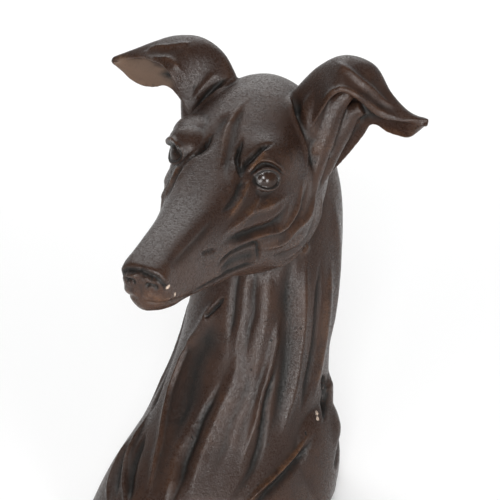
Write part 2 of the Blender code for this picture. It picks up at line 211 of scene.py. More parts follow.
def neckRings():
    # one ring of the neck's surface per level, from below the ground to inside the skull
    levels = np.linspace(neckForm["sections"][0][0], neckForm["sections"][-1][0], neckForm["rings"])
    degrees = np.linspace(0, 360, neckForm["around"], endpoint=False)
    return np.stack([neckSurface(levels, turn) for turn in degrees], 1)


earForm = {
    "wall": 0.0055,
    # the wall thins at both rims as the root of 1 - |share from the middle|^power, down to
    # the root of least
    "power": 6,
    "least": 0.06,
    "rings": 90,
    "across": 36,
    # from the skull to the tip, as if on the left: front rim, ridge of the back, rear rim,
    # each as left, ahead, up
    "left": (
        ((34, -46, -8), (20, -72, 20), (42, -84, -44)),
        ((46, -50, 20), (36, -80, 38), (56, -83, -24)),
        ((57, -52, 40), (53, -85, 47), (67, -81, -6)),
        ((70, -57, 35), (71, -86, 44), (73, -80, 4)),
        ((82, -65, 20), (84, -82, 29), (86, -79, 2)),
        ((97, -68, 18), (99, -76, 21), (100, -76, 4)),
        ((113, -71, 21), (114, -73, 20), (112, -73, 15)),
    ),
    "right": (
        ((34, -46, -8), (14, -68, 20), (42, -84, -44)),
        ((49, -50, 10), (31, -80, 35), (58, -83, -22)),
        ((57, -50, 29), (49, -84, 42), (68, -81, -4)),
        ((70, -57, 33), (67, -83, 40), (76, -80, 2)),
        ((84, -66, 29), (82, -81, 33), (89, -79, 0)),
        ((98, -69, 24), (97, -77, 26), (101, -77, 5)),
        ((111, -71, 20), (112, -73, 21), (112, -73, 16)),
    ),
}


fillings = {
    # left, ahead, up, then radii the same way: the brow over the far eye and what carries it
    # back, then on both sides the root that joins the ear's front rim to the skull, and the
    # ear's closed tip
    "brow": ((23.5, -11, 6), (12.5, 14, 10)),
    "browBack": ((25, -23, 8), (12.5, 15, 9.5)),
    "earRoot": ((34, -69, 9), (12, 10, 17)),
    "earTip": ((108.5, -72.5, 18), (5, 2.6, 3.1)),
    # cords as left, ahead, up, radius: under the near ear's front rim, then on both sides the
    # column that climbs from the cheek into the ear and the floor of the bowl behind it
    "earFront": ((35, -49, -8, 8), (37, -55, 5, 9), (39, -61, 18, 9), (42, -66, 30, 6)),
    "earColumn": (
        (33, -38, -46, 8), (37, -45, -32, 10), (41, -54, -14, 10), (45, -62, 4, 10), (50, -69, 19, 8),
        (58, -74, 29, 5)),
    "earBowl": (
        (40, -56, -36, 7), (43, -63, -24, 9), (47, -70, -12, 9), (52, -75, 0, 9), (58, -78, 10, 7),
        (66, -79, 16, 5)),
}


def cordSurface(stations, steps=40, around=24):
    # circles of the stations' radius, square to the run of their curve
    spine = through(stations, steps)
    run = np.gradient(spine[:, :3], axis=0)
    run /= np.linalg.norm(run, axis=1, keepdims=True)
    side = np.cross(run, (0, 1, 0))
    side /= np.linalg.norm(side, axis=1, keepdims=True)
    angle = np.linspace(0, 2 * math.pi, around, endpoint=False)[None, :, None]
    ring = np.cos(angle) * side[:, None] + np.sin(angle) * np.cross(run, side)[:, None]
    return (spine[:, None, :3] + ring * spine[:, None, 3:]) * (part, -part, part)


def earSurface(sections, side):
    # a quadratic bow from rim over ridge to rim, with the wall laid on its hollow side
    front, ridge, rear = np.moveaxis(through(sections, earForm["rings"]), 1, 0)
    pull = 2 * ridge - (front + rear) / 2
    u = np.linspace(0, 1, earForm["across"])[None, :, None]
    back = (1 - u) ** 2 * front[:, None] + 2 * u * (1 - u) * pull[:, None] + u**2 * rear[:, None]
    inward = np.cross(np.gradient(back, axis=0), np.gradient(back, axis=1))
    inward /= np.linalg.norm(inward, axis=2, keepdims=True)
    middle = (front + rear)[:, None] / 2
    inward *= np.sign(np.sum(inward * (middle - ridge[:, None]), axis=2, keepdims=True))
    edge = np.sqrt(np.clip(1 - (2 * u - 1) ** earForm["power"], earForm["least"], 1))
    hollow = back + inward * earForm["wall"] / part * edge
    return np.concatenate([back, hollow[:, ::-1]], 1) * part * (side, -1, 1)


eyeForm = {
    # left, ahead, up: the casting's two eyes differ a little
    "middles": {1: (27.9, -5.0, -3.4), -1: (25.7, -4.4, 2.0)},
    "gaze": (0.62, 0.68, 0.39),
    "inwards": (-0.5, 0.8, 0.33),       # towards the lids' inner corner
    "diameter": 0.0190,
    # lid opening as tangents from the gaze towards the nose, the ear, up and down
    "opening": (1.50, 1.45, 0.80, 0.86),
    # in parts: the lid cord's middle over the ball, and its radius
    "lidProud": 0.6,
    "lidThick": 1.25,
    "lidSteps": 72,
    "lidAround": 14,
}


def eyeAxes(side):
    # the eye's middle, then unit axes towards the inner corner, upwards and along the gaze
    rows = (eyeForm["gaze"], eyeForm["inwards"], eyeForm["middles"][side])
    gaze, nose, middle = (Vector((side * left, -ahead, up)) for left, ahead, up in rows)
    gaze.normalize()
    nose = (nose - nose.dot(gaze) * gaze).normalized()
    middle = middle * part
    return [np.array(axis) for axis in (middle, nose, nose.cross(gaze) * side, gaze)]


def lidSurface(side):
    # a round cord whose path lies on the ball, where a four-way oval of the tangents meets it
    middle, nose, up, gaze = eyeAxes(side)
    turn = np.linspace(0, 2 * math.pi, eyeForm["lidSteps"], endpoint=False)[:, None]
    inner, outer, high, low = eyeForm["opening"]
    wide = np.where(np.cos(turn) > 0, inner, outer) * np.cos(turn)
    rise = np.where(np.sin(turn) > 0, high, low) * np.sin(turn)
    ray = gaze + wide * nose + rise * up
    ray /= np.linalg.norm(ray, axis=1, keepdims=True)
    spine = middle + ray * (eyeForm["diameter"] / 2 + eyeForm["lidProud"] * part)
    run = np.roll(spine, -1, 0) - np.roll(spine, 1, 0)
    run /= np.linalg.norm(run, axis=1, keepdims=True)
    out = np.cross(run, ray)
    around = np.linspace(0, 2 * math.pi, eyeForm["lidAround"], endpoint=False)[None, :, None]
    tube = np.cos(around) * ray[:, None] + np.sin(around) * out[:, None]
    return spine[:, None] + tube * eyeForm["lidThick"] * part


def melted(name, meshes, softenings):
    # overlapping closed meshes become one skin of even voxels, then softened
    pool = bmesh.new()
    for mesh in meshes:
        pool.from_mesh(mesh)
    together = bpy.data.meshes.new(name)
    pool.to_mesh(together)
    pool.free()
    lump = bpy.data.objects.new(name, together)
    bpy.context.scene.collection.objects.link(lump)
    melt = lump.modifiers.new("melt", "REMESH")
    melt.mode = "VOXEL"
    melt.voxel_size = casting["grain"]
    soften = lump.modifiers.new("soften", "SMOOTH")
    soften.factor = casting["softness"]
    soften.iterations = softenings
    skin = appliedMesh(lump)
    bpy.data.objects.remove(lump, do_unlink=True)
    return skin


def appliedMesh(thing):
    # a new mesh of the object as its modifiers leave it
    graph = bpy.context.evaluated_depsgraph_get()
    return bpy.data.meshes.new_from_object(thing.evaluated_get(graph))


def readPoints(mesh, what="co"):
    flat = np.empty(len(mesh.vertices) * 3, np.float32)
    mesh.vertices.foreach_get(what, flat)
    return flat.reshape(-1, 3).astype(float)


carving = {
    # left, ahead, up, radius, height, on both sides
    "swells": (
        (30, -9, 16, 12, 2.0),
        (40, -6, -28, 14, 3.5),
        (0, 109, -30, 7, 1.2),
        (32, -9, 0, 15, 3.0),
        (33, -1, -2, 8, -3.5),
        (36, -26, 4, 12, 3.0),
        (39, -30, -20, 12, 1.5),
        (36, 2, -34, 14, 2.0),
        (40, -34, -62, 20, 2.5),
        (17, 84, -26, 12, 1.0),
        (13, 108, -12, 5, 1.2),
    ),
    # the same, on the near side only
    "soloSwells": (
        (30, -9, 17, 13, 4.5),
    ),
    # half-width, height (cut where negative), lean of its slopes, rubbed brown or (below 0)
    # darkened as patina and painted shade, then the points as left, ahead, up, on both sides
    "headLines": {
        "notch": (1.5, -4.6, 0.2, -0.8, (
            (10, -15, 17), (12, -4, 14), (13, 1, 10), (16, 6, 6), (20, 12, 1))),
        "upper fold": (1.3, 2.4, 0, 0.3, (
            (24, 8, 6), (26, 5, 10), (29, 0, 12.5), (33, -4, 11), (37, -9, 5), (40, -16, -5))),
        "fold groove": (1.0, -2.4, 0, -0.8, (
            (24, 8, 3), (26, 4, 7), (29, 0, 9.5), (33, -4, 8), (37, -9, 2), (40, -14, -6))),
        "tear edge": (1.4, 1.7, -0.5, 0.6, (
            (25, 6, 3), (23, 12, 0), (22, 18, -4), (21, 27, -7), (20, 38, -11))),
        "tear groove": (1.8, -2.0, 0.3, -0.3, ((20, 8, 3), (20, 17, -1), (19, 26, -5), (18, 42, -6))),
        "side ridge": (2.6, 1.2, 0, 0, ((13, 0, 9), (15, 12, 5), (18, 28, 0))),
        "lower lid shade": (1.2, -0.7, 0, -0.1, ((25, 8, -4), (28, 7, -9), (32, 3, -11), (36, -4, -9))),
        "under eye": (1.3, 1.3, 0, 0.1, ((31, 6, -9), (29, 13, -12), (27, 21, -14), (25, 29, -14))),
        "cheek bone": (2.6, 2.4, 0, 0.35, (
            (40, -16, -18), (36, 1, -17), (32, 9, -16), (29, 19, -15), (26, 29, -16), (20, 49, -17))),
        "cheek hollow": (3.6, -3.6, 0, -0.15, (
            (21, 50, -20), (23, 29, -27), (26, 17, -30), (31, 6, -31), (36, -4, -29), (39, -14, -20))),
        "cheek fold": (3.0, 2.8, 0.2, 0.35, (
            (22, 38, -30), (31, 16, -34), (36, 5, -36), (39, -6, -38), (41, -16, -34), (43, -23, -28),
            (44, -31, -12))),
        "second valley": (2.8, -2.4, 0, -0.15, (
            (26, 30, -34), (37, 10, -39), (41, -4, -43), (44, -19, -41), (47, -28, -33),
            (47, -37, -14))),
        "second fold": (3.2, 2.4, 0, 0.2, (
            (30, 16, -43), (37, -8, -52), (44, -20, -48), (46, -37, -44), (47, -49, -24))),
        "jaw rim": (2.4, 2.0, 0, 0.2, (
            (31, 2, -68), (36, -22, -80), (42, -38, -81), (46, -50, -74), (48, -57, -60),
            (48, -56, -36))),
        "jaw valley": (4.0, -2.0, 0, 0, ((34, 0, -60), (40, -22, -68), (44, -38, -64), (46, -46, -46))),
        "leaf": (5.5, -2.6, 0, -0.2, ((19, 50, -42), (24, 34, -44), (28, 21, -48), (30, 8, -54))),
        "leaf edge": (1.2, -2.2, 0.4, -0.7, (
            (20, 54, -38), (22, 48, -35), (25, 40, -34), (28, 31, -35), (31, 22, -37), (32, 14, -40),
            (31, 11, -47), (30, 9, -55), (29, 8, -62))),
        "mouth": (1.4, -3.0, 0, -0.7, (
            (14, 80, -40), (18, 66, -45), (22, 51, -49), (26, 36, -52), (29, 20, -57), (30, 8, -61))),
        "muzzle top": (1.8, -0.8, -0.4, -0.3, (
            (18, 40, -5), (16, 57, -6), (15, 69, -7), (14, 81, -7), (13, 91, -7), (13, 103, -7))),
        "whisker pit": (1.2, -1.8, 0, 0.2, ((15, 68, -18), (18, 60, -20), (20, 51, -24))),
        "temple edge": (2.0, 2.6, 0.3, 0, (
            (18, -72, 26), (26, -55, 19), (36, -45, 7), (40, -41, -1), (44, -36, -14))),
        "temple": (4.0, -1.8, 0, -0.15, (
            (24, -72, 27), (32, -57, 15), (37, -53, 5), (42, -48, -8), (46, -44, -20))),
        "nose edge": (1.2, -1.8, 0, -1.0, (
            (-3, 111, -4), (3, 113, -5), (10, 111, -8), (13, 109, -13), (14, 107, -18))),
        "nose facet": (1.6, 1.8, 0, 0, ((1, 114, -8), (6, 114, -9), (10, 112, -12))),
        "nostril": (1.0, -2.6, 0, -0.9, (
            (4, 116, -16), (4.5, 115, -13), (7.5, 114, -12), (10, 113, -14), (9, 113, -17.5))),
        "lip": (1.1, -1.5, 0, 0.3, (
            (0, 113, -24), (5, 112, -25.5), (11, 108, -28), (14, 98, -32), (15, 88, -37),
            (15, 78, -42))),
        "upper lip": (2.2, 1.0, 0, 0.5, ((0, 113, -20), (7, 112, -21), (12, 107, -24), (15, 96, -28))),
        "ear ridge": (2.4, 2.4, 0.3, 0, (
            (50, -72, 50), (58, -67, 49), (68, -66, 43), (77, -70, 34), (93, -74, 23))),
        "ear rim": (1.8, 1.4, 0, 0.1, (
            (45, -54, 26), (53, -53, 37), (61, -55, 41), (69, -58, 37), (83, -68, 22), (96, -69, 20))),
    },
    "earLines": {
        "bowl ridge": (2.6, 1.8, 0, 0.4, (
            (45, -44, -12), (42, -55, -5), (39, -68, -1), (41, -78, 6), (48, -80, 14))),
        "bowl hollow": (2.8, -1.6, 0, -0.2, (
            (45, -54, -16), (42, -68, -9), (46, -80, 2), (56, -81, 12))),
        "bowl fold": (2.4, 1.8, 0, 0.4, (
            (45, -64, -22), (44, -79, -15), (49, -80, -5), (56, -80, 4), (66, -80, 12))),
        "bowl floor": (3.0, -0.9, 0, -0.5, (
            (52, -81, 16), (60, -81, 12), (70, -80, 12), (82, -78, 12))),
        "flap edge": (1.8, 1.2, 0, 0.5, ((74, -80, 3), (86, -79, 2), (96, -76, 4), (106, -72, 12))),
    },
    # lines of one side only, or along the middle: right is below 0
    "soloLines": {
        "brow crease": (1.7, -4.2, 0.4, -0.6, (
            (30, -20, 15), (26, -11, 15), (24, -6, 13), (21, -1, 10), (19, 3, 7), (19, 12, 0))),
        "brow lip": (1.5, 1.8, 0, 0.5, ((29, -14, 13), (26, -6, 13), (24, 0, 9), (22, 6, 5))),
        "brow furrow": (3.4, -1.8, 0.3, 0, (
            (-1, -46, 24), (1, -28, 19), (5, -12, 15), (8, 3, 12), (13, 20, 6))),
        "furrow ridge": (2.0, 1.3, 0, 0.2, (
            (0, -52, 26), (-2, -36, 22), (-3, -22, 18), (0, -8, 15), (4, 6, 12), (7, 20, 8))),
        "far furrow": (4.0, -1.6, 0, 0, ((-6, -34, 20), (-9, -12, 16), (-11, 8, 11))),
        "philtrum": (1.2, -0.6, 0, 0, ((0, 116, -12), (0, 115, -19), (0, 111, -26))),
        "ear root groove": (1.3, -1.5, 0, -0.5, (
            (-22, -66, 27), (-30, -60, 21), (-36, -56, 13), (-42, -50, 3))),
        "ear root fold": (2.0, 1.0, 0, 0, ((-30, -68, 28), (-37, -62, 20), (-43, -55, 10))),
        "ear root crease": (1.2, -1.2, 0, 0, ((-34, -74, 30), (-42, -64, 20), (-46, -58, 12))),
    },
    # on the neck a point is a share of the eyes' height and degrees from the throat towards the
    # left; the front flutes are drawn once, the side flutes on both sides
    "frontFlutes": {
        "shoulder rise": (8.0, 3.8, 0, 0, (
            (0.34, 126), (0.31, 129), (0.27, 128), (0.21, 124), (0.15, 118))),
        "cut": (1.0, -3.6, 0.2, -0.9, ((0.615, 13), (0.59, 9), (0.56, 2), (0.545, -1))),
        "cut ridge": (3.4, 2.2, 0, 0, ((0.61, 7), (0.56, 0), (0.52, -6), (0.48, -13), (0.44, -18))),
        "throat hollow": (9.0, -3.0, 0, -0.1, (
            (0.57, 13), (0.50, 5), (0.43, -1), (0.36, 2), (0.30, 8), (0.24, 12))),
        "front cord": (2.4, 3.4, 0.5, 0.1, (
            (0.50, -12), (0.45, -17), (0.41, -19), (0.36, -18), (0.31, -12), (0.26, -3), (0.20, 6),
            (0.12, 16))),
        "cord shade": (3.0, -2.4, 0, -0.2, ((0.44, -46), (0.37, -46), (0.31, -37), (0.27, -30))),
        "chest cord": (2.0, 3.0, 0.4, 0, (
            (0.28, -37), (0.23, -30), (0.20, -25), (0.18, -18), (0.15, -6), (0.10, 8))),
        "chest groove": (3.0, -3.2, 0, -0.3, ((0.25, -22), (0.20, -14), (0.165, -6), (0.13, 4))),
        "outer cord": (2.2, 2.2, 0.3, 0, ((0.21, -42), (0.17, -34), (0.14, -26), (0.10, -12))),
        "outer groove": (2.4, -2.4, 0, -0.3, ((0.22, -35), (0.18, -28), (0.155, -20), (0.12, -7))),
        "first ridge": (5.0, 2.6, 0, 0, ((0.36, 10), (0.29, 12), (0.23, 15), (0.19, 20), (0.13, 24))),
        "first groove": (2.8, -2.4, 0, -0.25, (
            (0.42, 26), (0.36, 23), (0.32, 21), (0.28, 22), (0.23, 23), (0.19, 26), (0.10, 28))),
        "second ridge": (5.0, 2.4, 0, 0, (
            (0.52, 31), (0.42, 34), (0.34, 31), (0.28, 30), (0.23, 31), (0.15, 35))),
        "second groove": (3.0, -0.9, 0, 0, (
            (0.46, 46), (0.39, 44), (0.34, 42), (0.30, 41), (0.26, 42), (0.17, 43))),
        "third groove": (2.4, -0.6, 0, 0, (
            (0.50, 54), (0.43, 53), (0.38, 52), (0.34, 51), (0.30, 50), (0.22, 52))),
        "chin groove": (2.2, -1.5, 0, -0.25, ((0.70, 22), (0.63, 22), (0.58, 23), (0.50, 24))),
        "chin ridge": (3.4, 1.4, 0, 0, ((0.70, 30), (0.62, 30), (0.56, 31), (0.46, 29))),
        "second chin groove": (2.6, -1.4, 0, -0.2, (
            (0.70, 37), (0.64, 37), (0.58, 39), (0.55, 38), (0.46, 38))),
        "second chin ridge": (5.4, 2.2, 0, 0, (
            (0.70, 48), (0.61, 47), (0.54, 47), (0.47, 46), (0.38, 48))),
    },
    "sideFlutes": {
        "long cord": (2.6, 2.6, 0, 0, (
            (0.58, 60), (0.51, 59), (0.45, 58), (0.36, 57), (0.30, 57), (0.20, 56))),
        "long groove": (2.8, -2.8, 0, -0.3, (
            (0.46, 64), (0.40, 62), (0.35, 61), (0.30, 63), (0.25, 64), (0.20, 63), (0.12, 55))),
        "broad hollow": (7.0, -3.4, 0, -0.15, (
            (0.74, 64), (0.62, 64), (0.53, 68), (0.45, 71), (0.36, 72), (0.24, 69))),
        "rear cord": (4.4, 3.2, 0, 0, (
            (0.74, 77), (0.60, 78), (0.50, 80), (0.42, 81), (0.35, 80), (0.24, 78))),
        "rear groove": (3.6, -2.6, 0, -0.15, (
            (0.70, 92), (0.58, 93), (0.45, 96), (0.38, 94), (0.29, 90))),
        "nape edge": (4.4, 2.0, 0, 0.4, (
            (0.68, 106), (0.57, 107), (0.46, 110), (0.39, 107), (0.30, 102))),
        "nape cord": (7.0, 1.6, 0, 0, ((0.84, 112), (0.60, 124), (0.40, 130))),
        "shoulder edge": (1.7, 3.2, 0, 0.8, (
            (0.25, 99), (0.22, 93), (0.20, 87), (0.18, 80), (0.16, 73), (0.14, 68), (0.08, 58))),
        "shoulder groove": (2.6, -3.0, 0, -0.5, (
            (0.24, 104), (0.20, 96), (0.18, 90), (0.16, 83), (0.14, 76), (0.08, 64))),
        "withers crease": (3.5, -2.4, 0, 0, ((0.18, 128), (0.10, 120))),
    },
    "slit": (2.3, -9.0, 0, -2.4, ((0.365, 112), (0.335, 117), (0.30, 118), (0.24, 109))),
}


working = {
    "steps": 32,                # points along a line
    "reach": 4,                 # half-widths of skin round the line that it can move
    "snap": 0.7,                # share of the way that a point goes to the skin's nearest one
    "inDepth": 0.6,             # share of the squared depth under the skin that isn't counted
    "taper": 4,                 # the ends ease over one part in this of the length
    "endWidth": 0.4,            # share of the half-width that the ends keep
    "rubSpread": 1.6,           # rubbing, or the painted shade where it is below 0, reaches this many times as wide as the relief
}


def workLine(points, normals, lift, rubbedOrShaded, line, stroke, side=1):
    # adds a bell across the line, height * exp(-(distance / width)^2), that narrows and sinks
    # to nothing at both ends; lean widens the slope on the right of its run and narrows the
    # other; the line is first drawn near to the skin, which the swellings have moved
    width, height, lean, rub = stroke[:4]
    width, height = width * part, height * part
    run = through(line, working["steps"])
    reach = working["reach"] * width
    near = np.all((points > run.min(0) - reach) & (points < run.max(0) + reach), axis=1)
    here, out = points[near], normals[near]
    for i, spot in enumerate(run):
        run[i] += working["snap"] * (here[np.argmin(np.sum((here - spot) ** 2, axis=1))] - spot)
    closest = np.full(len(here), np.inf)
    share = np.zeros(len(here))
    right = np.zeros(len(here))
    for i, (start, end) in enumerate(zip(run[:-1], run[1:])):
        step = end - start
        along = np.clip((here - start) @ step / (step @ step), 0, 1)
        offset = here - start - along[:, None] * step
        depth = np.sum(offset * out, axis=1)
        across = np.sum(offset * offset, axis=1) - working["inDepth"] * depth**2
        better = across < closest
        closest[better] = across[better]
        share[better] = (i + along[better]) / (len(run) - 1)
        right[better] = np.sign(np.sum(np.cross(step, out[better]) * offset[better], axis=1))
    ease = np.clip(np.minimum(share, 1 - share) * working["taper"], 0, 1)
    ease = ease * ease * (3 - 2 * ease)
    narrow = working["endWidth"]
    wide = width * (narrow + (1 - narrow) * ease) * (1 + side * lean * right)
    lift[near] += height * ease * np.exp(-closest / wide**2)
    rubbedOrShaded[near] += rub * ease * np.exp(-closest / (working["rubSpread"] * wide) ** 2)


def onHead(place, path, side=1):
    # points given as left, ahead, up in parts, mirrored where side is -1, in the model's frame
    local = np.array(path, float) * (side, -1, 1) * part
    turned = np.array(place)
    return local @ turned[:3, :3].T + turned[:3, 3]


def onNeck(path, side=1):
    # points of the neck's surface given as level, degrees
    return np.array([neckSurface(level, side * turn)[0] for level, turn in path])


def moveOut(mesh, points, lift):
    # each point goes along its normal by its lift
    points += readPoints(mesh, "normal") * lift[:, None]
    mesh.vertices.foreach_set("co", points.astype(np.float32).ravel())
    mesh.update()


def swelling(points, place, swell, side=1):
    # a bell about the middle, height * exp(-(distance / radius)^2)
    *middle, radius, height = swell
    away = points - onHead(place, [middle], side)[0]
    return height * part * np.exp(-np.sum(away**2, axis=1) / (radius * part) ** 2)


def carve(mesh, place):
    # the swellings move the skin along its normals by the sum of their bells, then the lines do
    points = readPoints(mesh)
    lift = np.zeros(len(points))
    for side in (1, -1):
        for swell in carving["swells"]:
            lift += swelling(points, place, swell, side)
    for swell in carving["soloSwells"]:
        lift += swelling(points, place, swell)
    moveOut(mesh, points, lift)
    normals = readPoints(mesh, "normal")
    lift = np.zeros(len(points))
    rubbedOrShaded = np.zeros(len(points))
    for side in (1, -1):
        for stroke in (*carving["headLines"].values(), *carving["earLines"].values()):
            workLine(points, normals, lift, rubbedOrShaded, onHead(place, stroke[4], side), stroke, side)
        for stroke in carving["sideFlutes"].values():
            workLine(points, normals, lift, rubbedOrShaded, onNeck(stroke[4], side), stroke, side)
    for stroke in carving["soloLines"].values():
        workLine(points, normals, lift, rubbedOrShaded, onHead(place, stroke[4]), stroke)
    for stroke in (*carving["frontFlutes"].values(), carving["slit"]):
        workLine(points, normals, lift, rubbedOrShaded, onNeck(stroke[4]), stroke)
    moveOut(mesh, points, lift)
    return points, rubbedOrShaded, lift / part


def bustSkin():
    place = headToModel()
    forms = [gridMesh("head", headSurface())]
    for name, side in (("left", 1), ("right", -1)):
        forms.append(gridMesh("ear", earSurface(earForm[name], side)))
    ovals = {1: ("earRoot", "earTip"), -1: ("earRoot", "earTip", "brow", "browBack")}
    cords = {1: ("earColumn", "earBowl", "earFront"), -1: ("earColumn", "earBowl")}
    for side in (1, -1):
        for name in ovals[side]:
            middle, radii = np.array(fillings[name]) * part
            forms.append(ovalMesh(name, middle * (side, -1, 1), radii))
        for name in cords[side]:
            forms.append(gridMesh(name, cordSurface(fillings[name]) * (side, 1, 1)))
    for mesh in forms:
        mesh.transform(place)
    forms.append(gridMesh("neck", neckRings()))
    shoulder = neckForm["shoulder"]
    for side in (1, -1):
        middle = np.array(shoulder["middle"]) * (side, 1, 1)
        forms.append(ovalMesh("shoulder", middle, shoulder["radii"]))
    clay = melted("clay", forms, casting["softenings"])
    print("forms fused:", len(clay.vertices), "points")
    worked = carve(clay, place)
    print("carving done")
    eyes = []
    for side in (1, -1):
        eyes.append(ovalMesh("eye", eyeAxes(side)[0], (eyeForm["diameter"] / 2,) * 3))
        eyes.append(gridMesh("lid", lidSurface(side), looped=True))
    for mesh in eyes:
        mesh.transform(place)
    return melted("skin", [clay, *eyes], casting["finalSoftenings"]), worked


def cutFlat(mesh):
    # everything below the ground plane goes, and the opening is capped
    shape = bmesh.new()
    shape.from_mesh(mesh)
    whole = shape.verts[:] + shape.edges[:] + shape.faces[:]
    cut = bmesh.ops.bisect_plane(shape, geom=whole, plane_co=(0, 0, 0), plane_no=(0, 0, 1),
                                 clear_inner=True)
    rim = [item for item in cut["geom_cut"] if isinstance(item, bmesh.types.BMEdge)]
    bmesh.ops.contextual_create(shape, geom=rim)
    bmesh.ops.triangulate(shape, faces=[face for face in shape.faces if len(face.verts) > 4])
    shape.to_mesh(mesh)
    shape.free()


def fitInside(mesh):
    # centred over the solid's box; what is proud of it near its ends is pressed in smoothly
    low, high = (np.array(corner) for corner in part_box("greyhound_bust"))
    points = readPoints(mesh)
    shift = ((low + high) - (points.min(0) + points.max(0))) / 2 * (1, 1, 0)
    points += shift
    low, high = low + casting["inset"] * np.array((1, 1, 0)), high - casting["inset"]
    soft = casting["pressed"]
    for axis in range(3):
        for sign, wall in ((1, high[axis]), (-1, -low[axis])):
            reach = points[:, axis] * sign
            over = reach - (wall - soft)
            most = over.max()
            if most > soft:
                print("pressed in by mm:", round(1000 * (most - soft), 2))
                press = over > 0
                points[press, axis] = sign * (wall - soft + over[press] * soft / most)
    mesh.vertices.foreach_set("co", points.astype(np.float32).ravel())
    mesh.update()
    return shift


class Wire:
    # a socket whose arithmetic adds Math nodes to its own tree
    def __init__(self, socket):
        self.socket = socket

    def maths(self, operation, *values):
        node = self.socket.id_data.nodes.new("ShaderNodeMath")
        node.operation = operation
        for slot, value in zip(node.inputs, values):
            plug(slot, value)
        return Wire(node.outputs[0])

    def __add__(self, other):
        return self.maths("ADD", self, other)

    def __radd__(self, other):
        return self.maths("ADD", other, self)

    def __sub__(self, other):
        return self.maths("SUBTRACT", self, other)

    def __rsub__(self, other):
        return self.maths("SUBTRACT", other, self)

    def __mul__(self, other):
        return self.maths("MULTIPLY", self, other)

    def __rmul__(self, other):
        return self.maths("MULTIPLY", other, self)

    def kept(self):
        # held between 0 and 1
        return self.maths("MINIMUM", self.maths("MAXIMUM", self, 0.0), 1.0)


def plug(slot, value):
    if isinstance(value, Wire):
        slot.id_data.links.new(value.socket, slot)
    else:
        slot.default_value = value


class Finish:
    # a material and its Principled shader, with one method that adds any node
    def __init__(self, name, colour, roughness):
        self.material = bpy.data.materials.new(name)
        self.material.use_nodes = True
        self.tree = self.material.node_tree
        self.shader = self.tree.nodes["Principled BSDF"]
        self.set("Base Color", (*colour, 1))
        self.set("Roughness", roughness)
        self.place = self.node("ShaderNodeTexCoord", output="Object")

    def set(self, name, value):
        plug(self.shader.inputs[name], value)

    def node(self, kind, settings=(), inputs=(), output=0):
        made = self.tree.nodes.new(kind)
        for name, value in dict(settings).items():
            setattr(made, name, value)
        for name, value in dict(inputs).items():
            plug(made.inputs[name], value)
        return Wire(made.outputs[output])

    def noise(self, scale, detail, roughness):
        values = {"Vector": self.place, "Scale": scale, "Detail": detail, "Roughness": roughness}
        return self.node("ShaderNodeTexNoise", {}, values)

    def blotches(self, scale, detail, roughness, low, high):
        return self.band(self.noise(scale, detail, roughness), low, high)

    def wornAndShaded(self, name):
        # a layer of numbers written on the mesh's points when the skin was worn and painted with shade
        # and top light
        return self.node("ShaderNodeAttribute", {"attribute_name": name}, {}, "Fac")

    def blend(self, amount, under, over):
        sockets = {0: amount, 6: under, 7: over}
        return self.node("ShaderNodeMix", {"data_type": "RGBA"}, sockets, 2)

    def band(self, value, low, high):
        # smooth step from 0 at low to 1 at high
        sockets = {0: value, 1: low, 2: high, 3: 0.0, 4: 1.0}
        return self.node("ShaderNodeMapRange", {"interpolation_type": "SMOOTHSTEP"}, sockets)


patina = {
    "base": (0.020, 0.0098, 0.0064, 1),
    "grey": (0.029, 0.0165, 0.0125, 1),     # painted top light: a thin grey sheen on the skin that faces up
    "brown": (0.036, 0.0155, 0.0078, 1),
    "orange": (0.095, 0.045, 0.021, 1),     # rubbed through on the ridges
    "black": (0.007, 0.0055, 0.0045, 1),
    "pale": (0.210, 0.138, 0.094, 1),
    "chip": (0.420, 0.330, 0.260, 1),
}


marks = {
    # pinholes and pale chips seen in the photograph, and the pale underside of the far ear:
    # on the head as left, ahead, up in parts, on the neck as level, degrees
    "pinholes": {
        "head": ((32, 20, -39), (27, 14, -56), (29, -9, -75), (31, -18, -80)),
        "neck": ((0.53, 78), (0.44, 45), (0.51, 55), (0.28, 19), (0.25, 95), (0.24, 96)),
        "radius": 0.0009,
    },
    "chips": {
        "head": ((15, 107, -16), (15, 100, -26)),
        "neck": ((0.28, 105), (0.265, 104)),
        "radius": 0.0019,
    },
    "paleEar": {
        "head": ((-100, -74, 14), (-90, -77, 12), (-80, -79, 8)),
        "neck": (),
        "radius": 0.014,
    },
}
markEdge = {
    "noise": (1.2, 2, 0.6),     # scale in shares of 1 / radius, detail, roughness
    "inner": 0.55,              # share of the radius at which a mark begins to fade
}


def markMask(finish, mark, points, shift):
    # 1 at the skin's points nearest to the marks' places, 0 beyond their radius, with an edge
    # broken up by noise; shift is how far fitInside has moved the skin since it was carved
    places = [*onHead(headToModel(), mark["head"])]
    places += [*onNeck(mark["neck"])] if mark["neck"] else []
    away = None
    for place in places:
        spot = points[np.argmin(np.sum((points - place - shift) ** 2, axis=1))]
        ends = {0: finish.place, 1: tuple(spot)}
        reach = finish.node("ShaderNodeVectorMath", {"operation": "DISTANCE"}, ends, "Value")
        away = reach if away is None else away.maths("MINIMUM", away, reach)
    radius = mark["radius"]
    scale, detail, roughness = markEdge["noise"]
    ragged = away + (finish.noise(scale / radius, detail, roughness) - 0.5) * radius
    return 1.0 - finish.band(ragged, markEdge["inner"] * radius, radius)


